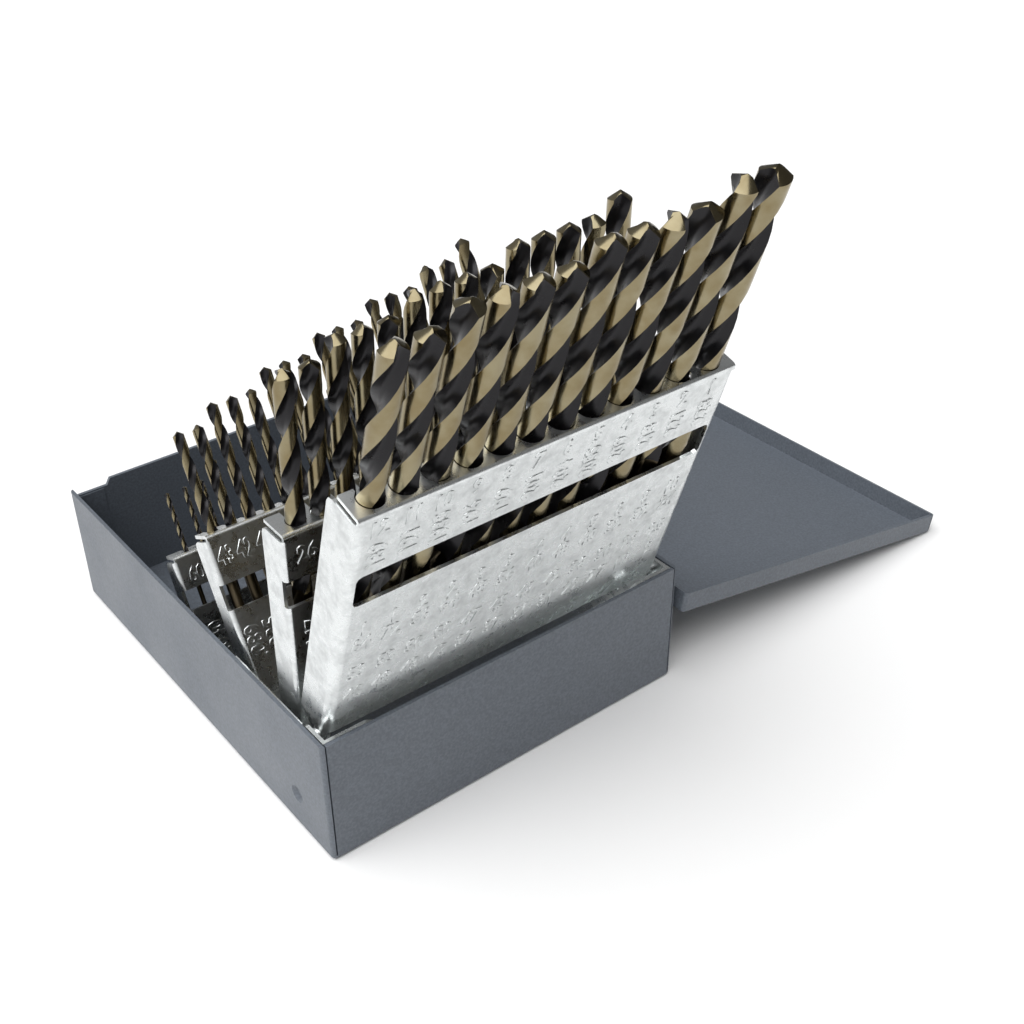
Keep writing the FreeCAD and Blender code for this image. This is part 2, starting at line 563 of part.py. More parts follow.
pin.Placement = FreeCAD.Placement(FreeCAD.Vector(), FreeCAD.Rotation(FreeCAD.Vector(1, 0, 0), -90))
for axis, value in (("x", hinge_x), ("y", -knuckle_pitch - knuckle_length / 2 - 1), ("z", hinge_z)):
    bind(pin, "Placement.Base." + axis, value)

# ---------------------------------------------------------------- lid, drawn closed about the hinge
lid = new_body("lid_pan")
lid_outline = new_sketch(lid, "lid_outline", "XY", lid_top - lid_lip)
polygon(lid_outline, [(lid_far, -lid_half_length), (lid_near, -lid_half_length),
                      (lid_near, lid_half_length), (lid_far, lid_half_length)])
lid_block = pad(lid, "lid_block", lid_outline, lid_lip)
lid_corners = fillet(lid, "lid_corners", lid_block, case_corner,
                     lambda e: near(e.BoundBox.ZLength, lid_lip.value))
lid_bends = fillet(lid, "lid_bends", lid_corners, lid_bend,
                   lambda e: e.BoundBox.ZMin > lid_top.value - 1e-3)
lid_inner = new_sketch(lid, "lid_inside", "XY", lid_top - lid_lip)
polygon(lid_inner, [(lid_far + case_sheet, -lid_half_length + case_sheet),
                    (lid_near - case_sheet, -lid_half_length + case_sheet),
                    (lid_near - case_sheet, lid_half_length - case_sheet),
                    (lid_far + case_sheet, lid_half_length - case_sheet)])
lid_hollow = pocket(lid, "lid_hollow", lid_inner, lid_lip - case_sheet, reverse=True)
lid_seams = new_sketch(lid, "lid_seams", "XY", lid_top - lid_lip)
for n, sy in enumerate((-1, 1)):
    x0, x1 = lid_far + case_sheet, lid_far + case_sheet + seam_gap
    y0, y1 = sy * (lid_half_length - case_sheet - case_seam_run), sy * (lid_half_length + 1)
    polygon(lid_seams, [(x0, y0), (x1, y0), (x1, y1), (x0, y1)], "s%d_" % n)
lid_seamed = pocket(lid, "lid_corner_seams", lid_seams, lid_lip - lid_seam_foot, reverse=True)
lid.Tip = lid_seamed
doc.recompute()


def open_lid(obj):
    """Turns a lid piece back about the hinge until its outer edge is at the floor."""
    obj.Placement = FreeCAD.Placement(
        FreeCAD.Vector(hinge_x.value, 0, hinge_z.value),
        FreeCAD.Rotation(FreeCAD.Vector(0, -1, 0), 180 - lid_droop.value))
    bind(obj, "Placement.Base.x", hinge_x)
    bind(obj, "Placement.Base.z", hinge_z)
    obj.setExpression("Placement.Rotation.Angle", "(180 - %s) * 1 deg" % lid_droop.text)


for piece in [lid] + lid_knuckles:
    open_lid(piece)

# ---------------------------------------------------------------- cradle
cradle = new_body("rack_cradle")
front = -half_length + case_sheet + cradle_gap
back_of_side = -half_length + cradle_side_end
back_of_rail = -half_length + cradle_rail_end
ear_end = -half_length + cradle_ear_end
notch = cradle_half - cradle_notch
side_profile = [(front, case_sheet), (front, cradle_ear_height), (ear_end, cradle_ear_height),
                (ear_end + cradle_ear_slope, cradle_side_height),
                (back_of_side - cradle_side_round, cradle_side_height),
                (back_of_side, cradle_side_height - cradle_side_round),
                (back_of_side, cradle_rail_height),
                (back_of_rail - cradle_rail_slope, cradle_rail_height),
                (back_of_rail, cradle_rail_foot), (back_of_rail, case_sheet)]
for side in (-1, 1):
    tag = "left" if side < 0 else "right"
    sketch = new_sketch(cradle, "side_outline_" + tag, "YZ", side * cradle_half)
    polygon(sketch, side_profile)
    pad(cradle, "side_plate_" + tag, sketch, cradle_sheet, reverse=side > 0)
    if side < 0:
        floor = new_sketch(cradle, "cradle_floor_outline", "XY", case_sheet)
        polygon(floor, [(-cradle_half, front), (cradle_half, front),
                        (cradle_half, -half_length + cradle_floor_end),
                        (-cradle_half, -half_length + cradle_floor_end)])
        pad(cradle, "cradle_floor", floor, cradle_sheet)
lip = new_sketch(cradle, "front_outline", "XZ", -front)
polygon(lip, [(-cradle_half, case_sheet), (cradle_half, case_sheet),
              (cradle_half, cradle_ear_height), (notch, cradle_ear_height),
              (notch - cradle_notch_slope, cradle_front_height),
              (-notch + cradle_notch_slope, cradle_front_height),
              (-notch, cradle_ear_height), (-cradle_half, cradle_ear_height)])
cradle_front = pad(cradle, "cradle_front", lip, cradle_sheet, reverse=True)
eyes = new_sketch(cradle, "cradle_eyes", "YZ")
circle(eyes, dimple_y - half_length, dimple_z, dimple_radius + dimple_fit, "dimple")
for k, rack in racks.items():
    circle(eyes, rack["pivot_y"] - half_length, rack["pivot_z"], rivet_radius, "pivot%d" % k)
cradle_eyes = pocket(cradle, "cradle_holes", eyes, case_width, midplane=True)
cradle.Tip = cradle_eyes
doc.recompute()


# ---------------------------------------------------------------- drills
def read(alias):
    return float(sheet.get(alias))


def fluted_bar(number, step):
    """The fluted length and point of a drill standing on the origin, from the sheet's sizes: a
    two-flute outline carried up and turned at the helix angle, in flat facets."""
    radius = read("drill_%d_diameter" % number) / 2
    overall = read("length_to_number_%d" % step)
    low = overall - read("flutes_to_number_%d" % step)
    slope = 1 / math.tan(math.radians(read("point_angle") / 2))
    high = overall - radius * slope
    lead = 2 * math.pi * radius / math.tan(math.radians(read("helix_angle")))
    land, web = read("land_angle"), read("web_share")
    floor = (180 - land) * read("floor_share")
    outline = [(-land / 2, 1), (0, 1), (land / 2, 1), (land / 2 + floor, web),
               (180 - land / 2 - floor, web)]
    outline += [(angle + 180, share) for angle, share in outline]
    count = len(outline)
    steps = int(math.ceil((high - low) / lead * read("flute_facets")))
    points = []
    for n in range(steps + 1):
        z = low + (high - low) * n / steps
        for angle, share in outline:
            turned = math.radians(angle) + 2 * math.pi * (z - low) / lead
            rise = (1 - share) * radius * slope if n == steps else 0
            points.append(FreeCAD.Vector(share * radius * math.cos(turned),
                                         share * radius * math.sin(turned), z + rise))
    foot, tip = len(points), len(points) + 1
    points += [FreeCAD.Vector(0, 0, low), FreeCAD.Vector(0, 0, overall)]
    facets = []
    for n in range(steps):
        for k in range(count):
            a, b = n * count + k, n * count + (k + 1) % count
            facets += [(a, b, b + count), (a, b + count, a + count)]
    for k in range(count):
        after = (k + 1) % count
        facets.append((foot, after, k))
        facets.append((tip, steps * count + k, steps * count + after))
    skin = Part.Shape()
    skin.makeShapeFromMesh((points, facets), 0.001)
    return Part.makeSolid(Part.Shell(skin.Faces))


# ---------------------------------------------------------------- racks
def rack_place(obj, rack):
    place(obj, 0, rack["pivot_y"] - half_length, rack["pivot_z"], rack["tilt"])


exports = {}
for k, rack in racks.items():
    name = "rack_%d" % k
    ahead, foot, rise = rack["ahead"], rack["foot"], rack["rise"]
    top = foot + rise
    body = new_body(name + "_body")
    plate_top = top - rack_sheet - plate_seam
    back = rack["depth"] - ahead
    corner = rack["corner"]
    inside = rack_half - rack_sheet
    # Face and end plates are one channel, bent round its two front corners.
    channel = new_sketch(body, name + "_channel_section", "XY", -ear_radius)
    polygon(channel, [(-rack_half, -ahead), (rack_half, -ahead), (rack_half, back),
                      (inside, back), (inside, -ahead + rack_sheet),
                      (-inside, -ahead + rack_sheet), (-inside, back), (-rack_half, back)])
    bent = pad(body, name + "_channel", channel, plate_top + ear_radius)
    bent = fillet(body, name + "_outer_bends", bent, corner,
                  lambda e: near(abs(edge_middle(e).x), rack_half.value)
                  and near(e.BoundBox.YMax, -ahead.value) and e.BoundBox.ZLength > 1)
    bent = fillet(body, name + "_inner_bends", bent, corner - rack_sheet,
                  lambda e: near(abs(edge_middle(e).x), inside.value)
                  and near(e.BoundBox.YMax, (-ahead + rack_sheet).value)
                  and e.BoundBox.ZLength > 1)
    # What the flat blank leaves out: below and behind the ears, and the upper back corners.
    outline = new_sketch(body, name + "_side_outline", "YZ")
    below = -ear_radius - spare
    polygon(outline, [(-ahead - spare, 0), (-ahead, 0),
                      (-ahead * ear_corner, -ear_radius * ear_corner), (0, -ear_radius),
                      (ear_radius * ear_corner, -ear_radius * ear_corner), (back, ear_radius),
                      (back + spare, ear_radius), (back + spare, below),
                      (-ahead - spare, below)], "ear")
    polygon(outline, [(back - end_round, plate_top),
                      (back - end_round * end_corner, plate_top - end_round * end_corner),
                      (back, plate_top - end_round), (back + spare, plate_top - end_round),
                      (back + spare, plate_top + spare), (back - end_round, plate_top + spare)],
            "back")
    pocket(body, name + "_side_cuts", outline, rack_half * 2 + spare, midplane=True)
    under = new_sketch(body, name + "_face_foot", "XZ", ahead)
    polygon(under, [(-inside, below), (inside, below), (inside, rack["skirt"]),
                    (-inside, rack["skirt"])])
    pocket(body, name + "_face_foot_cut", under, corner + window_bite)
    section = new_sketch(body, name + "_cap_section", "YZ")
    polygon(section, [(-ahead, plate_top), (-ahead, top), (-ahead + rack["top"], top),
                      (-ahead + rack["top"], top - rack_sheet),
                      (-ahead + rack_sheet, top - rack_sheet), (-ahead + rack_sheet, plate_top)])
    cap = pad(body, name + "_cap", section, (rack_half - cap_inset) * 2, midplane=True)
    fold = fillet(body, name + "_fold", cap, rack_bend,
                  lambda e: near(e.BoundBox.YMax, -ahead.value) and near(e.BoundBox.ZMin, top.value))
    shelf = new_sketch(body, name + "_shelf_section", "YZ")
    shelf_back = -ahead + rack["top"] - foot_back
    polygon(shelf, [(-ahead + rack_sheet / 2, foot - rack_sheet), (-ahead + rack_sheet / 2, foot),
                    (shelf_back, foot), (shelf_back, foot - rack_sheet)])
    pad(body, name + "_foot_shelf", shelf, rack_half * 2 - foot_end * 2, midplane=True)
    window = new_sketch(body, name + "_window_outline", "XZ", ahead)
    w, z1, z0 = rack_half - rack["inset"], top - rack["window"], (top - rack["window"]
                                                                  - rack["window_height"])
    if k == 1:
        c = slot_radius
        polygon(window, [(-w, z0 + c), (-w + c * 0.3, z0 + c * 0.3), (-w + c, z0), (w - c, z0),
                         (w - c * 0.3, z0 + c * 0.3), (w, z0 + c), (w, z1 - c),
                         (w - c * 0.3, z1 - c * 0.3), (w - c, z1), (-w + c, z1),
                         (-w + c * 0.3, z1 - c * 0.3), (-w, z1 - c)])
    else:
        polygon(window, [(-w, z0), (w, z0), (w, z1), (-w, z1)])
    pocket(body, name + "_window", window, rack_sheet + window_bite)
    for side in (-1, 1):
        tag = "left" if side < 0 else "right"
        eye = new_sketch(body, "%s_eye_%s" % (name, tag), "YZ", side * rack_half)
        circle(eye, 0, 0, rivet_radius + rivet_fit, "pivot")
        body.Tip = pocket(body, "%s_pivot_%s" % (name, tag), eye, rack_sheet, reverse=side < 0)
    doc.recompute()
    tools = []
    drills = []
    for n in rack["numbers"]:
        radius = drill_diameter[n] / 2
        y = -ahead + rack["axis"]
        hole = doc.addObject("Part::Cylinder", "hole_%d" % n)
        bind(hole, "Radius", radius + hole_clearance)
        bind(hole, "Height", rack_sheet + 2)
        place(hole, drill_x[n], y, top - rack_sheet - 1)
        mouth = doc.addObject("Part::Box", "mouth_%d" % n)
        bind(mouth, "Length", radius * 2 * mouth_share)
        bind(mouth, "Width", rack["top"])
        bind(mouth, "Height", rack_sheet + 2)
        place(mouth, drill_x[n] - radius * mouth_share, y, top - rack_sheet - 1)
        tools += [hole, mouth]
        point = radius / tangent(point_angle / 2)
        shank = doc.addObject("Part::Cylinder", "shank_%d" % n)
        bind(shank, "Radius", radius)
        place(shank, drill_x[n], y, foot)
        if n in drill_flute:
            bind(shank, "Height", drill_length[n] - drill_flute[n])
            tip = doc.addObject("Part::Feature", "flutes_%d" % n)
            tip.Shape = fluted_bar(n, [row[0] for row in jobber if n <= row[0]][0])
            place(tip, drill_x[n], y, foot)
        else:
            bind(shank, "Height", drill_length[n] - point)
            tip = doc.addObject("Part::Cone", "point_%d" % n)
            bind(tip, "Radius1", radius)
            bind(tip, "Radius2", 0)
            bind(tip, "Height", point)
            place(tip, drill_x[n], y, foot + drill_length[n] - point)
        drill = doc.addObject("Part::Fuse", "drill_%d" % n)
        drill.Base, drill.Tool = shank, tip
        drills.append(drill)
    cutter = doc.addObject("Part::Compound", name + "_cutter")
    cutter.Links = tools
    frame = doc.addObject("Part::Cut", name + "_frame")
    frame.Base, frame.Tool = body, cutter
    frame.Label = name + "_frame"
    rack_place(frame, rack)
    bundle = doc.addObject("Part::Compound", name + "_drills")
    bundle.Links = drills
    bundle.Label = name + "_drills"
    rack_place(bundle, rack)
    # Rivets: fixed in the cradle's side plates, with a shoulder outside and a head inside the rack.
    rivets = []
    for side in (-1, 1):
        bits = []
        for tag, radius, outer, inner in (
                ("shank", rivet_radius, cradle_half, rack_half - rack_sheet - side_play - 0.1),
                ("shoulder", rivet_head_radius, cradle_half - cradle_sheet, rack_half + side_play),
                ("head", rivet_head_radius, rack_half - rack_sheet - side_play,
                 rack_half - rack_sheet - side_play - rivet_head)):
            bit = doc.addObject("Part::Cylinder", "%s_%s_%d" % (name, tag, side + 2))
            bit.Placement = FreeCAD.Placement(FreeCAD.Vector(),
                                              FreeCAD.Rotation(FreeCAD.Vector(0, 1, 0), 90))
            bind(bit, "Radius", radius)
            bind(bit, "Height", outer - inner)
            bind(bit, "Placement.Base.x", inner if side > 0 else -outer)
            bits.append(bit)
        rivet = doc.addObject("Part::MultiFuse", "%s_rivet_%d" % (name, side + 2))
        rivet.Shapes = bits
        rivets.append(rivet)
    pair = doc.addObject("Part::Compound", name + "_rivets")
    pair.Links = rivets
    pair.Label = name + "_rivets"
    place(pair, 0, rack["pivot_y"] - half_length, rack["pivot_z"])
    exports[name + "_frame"] = [frame]
    exports[name + "_drills"] = [bundle]
    exports[name + "_rivets"] = [pair]
doc.recompute()

exports.update({"case_box": [box], "corner_tabs": tabs, "hinge_pin": [pin], "lid_pan": [lid],
                "rack_cradle": [cradle]})
for knuckle in case_knuckles + lid_knuckles:
    exports[knuckle.Label] = [knuckle]

# ---------------------------------------------------------------- checks and export
for obj in doc.Objects:
    for state in obj.State:
        if state in ("Invalid", "Error"):
            raise RuntimeError("%s is %s" % (obj.Label, state))
os.makedirs("parts", exist_ok=True)
triangles = 0
for name, members in sorted(exports.items()):
    shapes = [m.Shape for m in members]
    shape = shapes[0] if len(shapes) == 1 else Part.makeCompound(shapes)
    if not shape.isValid() or not shape.Solids:
        raise RuntimeError("%s has no valid solid" % name)
    for solid in shape.Solids:
        if not solid.isValid() or solid.Volume <= 0:
            raise RuntimeError("%s has a bad solid" % name)
    count = len(shape.tessellate(0.1)[1])
    triangles += count
    bounds = shape.BoundBox
    print("%-16s %3d solids %8.1f mm3 %6d triangles  %s" % (
        name, len(shape.Solids), shape.Volume, count,
        " ".join("%.1f" % v for v in (bounds.XMin, bounds.YMin, bounds.ZMin,
                                      bounds.XMax, bounds.YMax, bounds.ZMax))))
    shape.exportStep("parts/%s.step" % name)
print("triangles in all", triangles)
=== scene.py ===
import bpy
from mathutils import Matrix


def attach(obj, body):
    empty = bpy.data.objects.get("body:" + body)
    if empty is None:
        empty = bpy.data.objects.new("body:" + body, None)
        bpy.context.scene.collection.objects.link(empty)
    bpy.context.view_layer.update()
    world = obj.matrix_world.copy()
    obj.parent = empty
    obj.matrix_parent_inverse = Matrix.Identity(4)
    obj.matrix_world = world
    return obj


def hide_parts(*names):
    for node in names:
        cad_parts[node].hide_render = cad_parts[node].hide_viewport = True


bl_info = {
    "name": "Hinged drill index",
    "version": (1, 0, 0),
    "blender": (4, 5, 0),
    "location": "3D View > Sidebar > Drill index",
    "description": "Finishes a sheet-metal drill index: case, lid, racks and 60 twist drills",
    "category": "Object",
}

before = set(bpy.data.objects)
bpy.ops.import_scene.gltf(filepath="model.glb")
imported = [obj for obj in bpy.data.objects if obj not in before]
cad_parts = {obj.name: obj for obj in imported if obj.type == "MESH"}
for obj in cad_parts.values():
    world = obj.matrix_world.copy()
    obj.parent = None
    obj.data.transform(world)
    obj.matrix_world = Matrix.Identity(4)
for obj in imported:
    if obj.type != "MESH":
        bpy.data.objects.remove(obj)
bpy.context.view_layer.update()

import math

import bmesh
import bpy
from bpy.props import FloatProperty, FloatVectorProperty, IntProperty, PointerProperty
from mathutils import Matrix, Vector

MM = 0.001
HALF_LENGTH = 55.5
RACK_HALF = 41.3
RACK_SHEET = 0.7

# The racks, largest first: numbers held from left to right, pivot from the middle of the case and
# above the floor, tilt back from upright, then sizes measured in the rack's own upright frame.
RACKS = {
    1: dict(held=(12, 1), pivot_y=6.4, pivot_z=26.9, tilt=-17.7, rise=56.7, foot=4.5, ahead=1.9,
            margin=2.5, window=14.5, window_height=7.7),
    2: dict(held=(26, 13), pivot_y=15.5, pivot_z=18.4, tilt=-2.2, rise=46.1, foot=3.6, ahead=1.7,
            margin=3.0, window=10.0, window_height=5.9),
    3: dict(held=(43, 27), pivot_y=26.3, pivot_z=11.15, tilt=27.4, rise=36.4, foot=7.1, ahead=1.6,
            margin=1.95, window=10.35, window_height=5.35),
    4: dict(held=(60, 44), pivot_y=51.2, pivot_z=4.75, tilt=24.9, rise=28.2, foot=4.4, ahead=1.6,
            margin=3.75, window=7.6, window_height=4.4),
}
# Wire gauge drills: diameters in thousandths of an inch, number 1 first.
GAUGE = (228, 221, 213, 209, 205.5, 204, 201, 199, 196, 193.5, 191, 189, 185, 182, 180, 177, 173,
         169.5, 166, 161, 159, 157, 154, 152, 149.5, 147, 144, 140.5, 136, 128.5, 120, 116, 113,
         111, 110, 106.5, 104, 101.5, 99.5, 98, 96, 93.5, 89, 86, 82, 81, 78.5, 76, 73, 70, 67,
         63.5, 59.5, 55, 52, 46.5, 43, 42, 41, 40)
# Jobber lengths in inches: last number of the step, overall length, flute length.
JOBBER = ((2, 3.875, 2.625), (6, 3.75, 2.5), (10, 3.625, 2.4375), (13, 3.5, 2.3125),
          (17, 3.375, 2.1875), (21, 3.25, 2.125), (24, 3.125, 2.0), (27, 3.0, 1.875),
          (29, 2.875, 1.75), (32, 2.75, 1.625), (35, 2.625, 1.5), (38, 2.5, 1.4375),
          (41, 2.375, 1.375), (43, 2.25, 1.25), (46, 2.125, 1.125), (51, 2.0, 1.0),
          (55, 1.875, 0.875), (57, 1.75, 0.75), (60, 1.625, 0.6875))
INCH = 0.0254
# Outline of a two-flute drill: share of the radius at each of its points in half a turn, from the
# land's heel to its lip and on through the flute to the next heel. Then the places of the lip and
# of the flute's deepest point among them.
SECTION = (1, 1, 1, 1, 1, 1, 1, 1, 0.51, 0.415, 0.365, 0.35, 0.365, 0.415, 0.52)
LIP = 7
FLUTE_FLOOR = 11
# Shares of a drill's radius: how long the flutes take to run out into the shank, and the shank's
# chamfer.
RUNOUT = 1.2
CHAMFER = 0.18
# Millimetres between the drills and the face of their rack.
DRILL_GAP = 0.12
# How far each drill is turned in its hole, in degrees, number 1 first.
TURNED = (102, 54, 122, 38, 170, 170, 166, 174, 30, 130, 166, 14, 158, 86, 158, 158, 2, 118, 10,
          26, 54, 150, 18, 90, 158, 58, 78, 6, 38, 94, 142, 110, 94, 86, 162, 102, 90, 146, 86,
          178, 154, 42, 178, 14, 58, 98, 66, 14, 166, 6, 130, 6, 18, 26, 154, 90, 106, 22, 134,
          122)
# The tapping chart below the first rack's slot: screw number, threads to the inch, tapping drill
# and clearance drill for each column.
CHART = ((1, 64, 53, 48), (1, 72, 53, 48), (2, 56, 50, 43), (2, 64, 50, 43), (3, 48, 47, 37),
         (3, 56, 45, 37), (4, 40, 43, 31), (4, 48, 42, 31), (5, 40, 38, 29), (6, 32, 36, 27),
         (8, 32, 29, 18), (10, 24, 25, 9))
# How far the first rack's numerals stand below its top, the other racks' numerals below theirs,
# and then the chart's four rows and the other racks' diameters below the window, in millimetres.
FIRST_NUMBER_DROP, FIRST_DIAMETER_DROP = 3.4, 9.9
NUMBER_DROP = 4.9
CHART_DROPS = (7.5, 11.9, 20.2, 26.8)
DIAMETER_DROP = 7.6
# Room for a numeral across the rack, as a share of the holes' pitch, and room for a diameter along
# the rack, in metres.
NUMBER_ROOM, CHART_ROOM = 0.8, 0.72
FIRST_DIAMETER_ROOM, DIAMETER_ROOM = 0.0072, 0.0078
# The built-in font: height of a figure as a share of its size, its widest setting, and how much
# the strokes grow, as a share of the figure's height.
FIGURE_SHARE = 0.69
WIDEST = 0.85
STROKE_GAIN = 0.03


def linear(code):
    """sRGB hex to linear RGBA."""
    values = [int(code[i:i + 2], 16) / 255 for i in (1, 3, 5)]
    return [v / 12.92 if v <= 0.04045 else ((v + 0.055) / 1.055) ** 2.4 for v in values] + [1.0]


class IndexSizes(bpy.types.PropertyGroup):
    helix_angle: FloatProperty(
        name="Helix angle", description="Angle of the flutes to the drill's axis",
        default=math.radians(26.3), min=math.radians(15), max=math.radians(45), subtype="ANGLE")
    point_angle: FloatProperty(
        name="Point angle", description="Included angle of the drill points",
        default=math.radians(118), min=math.radians(90), max=math.radians(140), subtype="ANGLE")
    point_relief: FloatProperty(
        name="Point relief", description="Drop from lip to heel, as a share of the radius",
        default=0.22, min=0.05, max=0.4)
    flute_steps: IntProperty(
        name="Flute steps", description="Rings of faces in one turn of a flute",
        default=22, min=8, max=64)
    numeral_height: FloatProperty(
        name="Numeral height", description="Height of the stamped numerals",
        default=0.0034, unit="LENGTH", subtype="DISTANCE")
    numeral_relief: FloatProperty(
        name="Numeral relief", description="How far the stamped numerals stand proud",
        default=0.00016, unit="LENGTH", subtype="DISTANCE")


class IndexColours(bpy.types.PropertyGroup):
    enamel: FloatVectorProperty(
        name="Case enamel", description="Satin grey enamel of the case and lid",
        size=4, min=0, max=1, subtype="COLOR", default=linear("#5b6169"))
    zinc: FloatVectorProperty(
        name="Zinc plate", description="Bright zinc of the racks and the cradle",
        size=4, min=0, max=1, subtype="COLOR", default=linear("#dfe2e2"))
    straw: FloatVectorProperty(
        name="Straw lands", description="Straw-tempered ground lands of the drills",
        size=4, min=0, max=1, subtype="COLOR", default=linear("#92896f"))
    shank: FloatVectorProperty(
        name="Shanks", description="Darker tempering of the plain shanks",
        size=4, min=0, max=1, subtype="COLOR", default=linear("#51493b"))
    oxide: FloatVectorProperty(
        name="Black oxide", description="Black oxide inside the flutes",
        size=4, min=0, max=1, subtype="COLOR", default=linear("#1b1a1c"))


# ---------------------------------------------------------------- node and mesh helpers
def add_node(tree, kind, inputs=None, **settings):
    """Adds a node; an input given as a socket is linked, any other is set."""
    node = tree.nodes.new(kind)
    for name, value in settings.items():
        setattr(node, name, value)
    for name, value in (inputs or {}).items():
        if isinstance(value, bpy.types.NodeSocket):
            tree.links.new(value, node.inputs[name])
        else:
            node.inputs[name].default_value = value
    return node


def new_material(name):
    """A material whose tree holds only a surface shader and the output."""
    material = bpy.data.materials.new(name)
    material.use_nodes = True
    tree = material.node_tree
    tree.nodes.clear()
    shader = add_node(tree, "ShaderNodeBsdfPrincipled")
    add_node(tree, "ShaderNodeOutputMaterial", {"Surface": shader.outputs["BSDF"]})
    return material, tree, shader


def leave_edit():
    if bpy.context.object and bpy.context.object.mode != "OBJECT":
        bpy.ops.object.mode_set(mode="OBJECT")


def only(*objs):
    """Selects these objects alone and makes the first one active."""
    leave_edit()
    bpy.ops.object.select_all(action="DESELECT")
    for obj in objs:
        obj.select_set(True)
    bpy.context.view_layer.objects.active = objs[0]


def pick(obj, kind, test):
    """In edit mode, selects the verts, edges or faces that pass the test and nothing else."""
    mesh = bmesh.from_edit_mesh(obj.data)
    bpy.ops.mesh.select_all(action="DESELECT")
    mesh = bmesh.from_edit_mesh(obj.data)
    modes = {"verts": (True, False, False), "edges": (False, True, False),
             "faces": (False, False, True)}
    bpy.context.tool_settings.mesh_select_mode = modes[kind]
    found = 0
    for item in getattr(mesh, kind):
        if test(item):
            item.select_set(True)
            found += 1
    mesh.select_flush_mode()
    bmesh.update_edit_mesh(obj.data)
    return found


def join(objs, name):
    only(*objs)
    if len(objs) > 1:
        bpy.ops.object.join()
    obj = bpy.context.object
    obj.name = name
    obj.data.name = name
    return obj


def settle(obj, body, slot, *nodes):
    """Fixes a finished piece's place in its mesh and registers it."""
    only(obj)
    bpy.ops.object.transform_apply(location=True, rotation=True, scale=True)
    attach(obj, body)
    if nodes:
        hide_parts(*nodes)
    return obj


def paint_node(node, *materials):
    """Gives a CAD node its finish through the object's own material slots."""
    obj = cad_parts[node]
    if not obj.material_slots:
        raise RuntimeError("the node %s has no material slot" % node)
    for n, slot in enumerate(obj.material_slots):
        slot.link = "OBJECT"
        slot.material = materials[min(n, len(materials) - 1)]


def rack_matrix(rack):
    """From a rack's upright frame, in millimetres about its pivot, to the case's frame."""
    return (Matrix.Translation(Vector((0, rack["pivot_y"] - HALF_LENGTH, rack["pivot_z"])) * MM)
            @ Matrix.Rotation(math.radians(-rack["tilt"]), 4, "X") @ Matrix.Scale(MM, 4))


def held(rack):
    first, last = rack["held"]
    return list(range(first, last - 1, -1))


def diameter(number):
    return GAUGE[number - 1] / 1000 * INCH


def lengths(number):
    return [(overall * INCH, flute * INCH) for last, overall, flute in JOBBER
            if number <= last][0]


def drill_places(rack):
    """Each held number's place across the rack, in millimetres."""
    numbers = held(rack)
    widths = [diameter(n) / MM for n in numbers]
    web = (RACK_HALF * 2 - rack["margin"] * 2 - sum(widths)) / (len(numbers) - 1)
    places, x = {}, rack["margin"] - RACK_HALF
    for number, width in zip(numbers, widths):
        places[number] = x + width / 2
        x += width + web
    return places


# ---------------------------------------------------------------- finishes
def satin_enamel():
    """Baked satin enamel sprayed on sheet steel: a grey-blue skin with a faint orange peel of
    about 0.6 mm and fine dust specks, which the eye reads as a soft broken sheen."""
    material, tree, shader = new_material("satin_enamel")
    base = list(bpy.context.scene.index_colours.enamel)
    place = add_node(tree, "ShaderNodeTexCoord").outputs["Object"]
    cloud = add_node(tree, "ShaderNodeTexNoise", {"Vector": place, "Scale": 60.0, "Detail": 4.0})
    speck = add_node(tree, "ShaderNodeTexNoise", {"Vector": place, "Scale": 1900.0, "Detail": 2.0})
    dust = add_node(tree, "ShaderNodeMapRange", {
        "Value": speck.outputs["Fac"], "From Min": 0.35, "From Max": 0.70})
    tone = add_node(tree, "ShaderNodeMix", {
        "Factor": dust.outputs["Result"], "A": [c * 0.84 for c in base[:3]] + [1],
        "B": [c * 1.16 for c in base[:3]] + [1]}, data_type="RGBA")
    peel = add_node(tree, "ShaderNodeTexNoise", {"Vector": place, "Scale": 900.0, "Detail": 3.0})
    relief = add_node(tree, "ShaderNodeBump", {
        "Height": peel.outputs["Fac"], "Strength": 0.35, "Distance": 0.00006})
    rough = add_node(tree, "ShaderNodeMapRange", {
        "Value": cloud.outputs["Fac"], "From Min": 0.3, "From Max": 0.7,
        "To Min": 0.36, "To Max": 0.46})
    tree.links.new(tone.outputs["Result"], shader.inputs["Base Color"])
    tree.links.new(rough.outputs["Result"], shader.inputs["Roughness"])
    tree.links.new(relief.outputs["Normal"], shader.inputs["Normal"])
    shader.inputs["Metallic"].default_value = 0.0
    return material


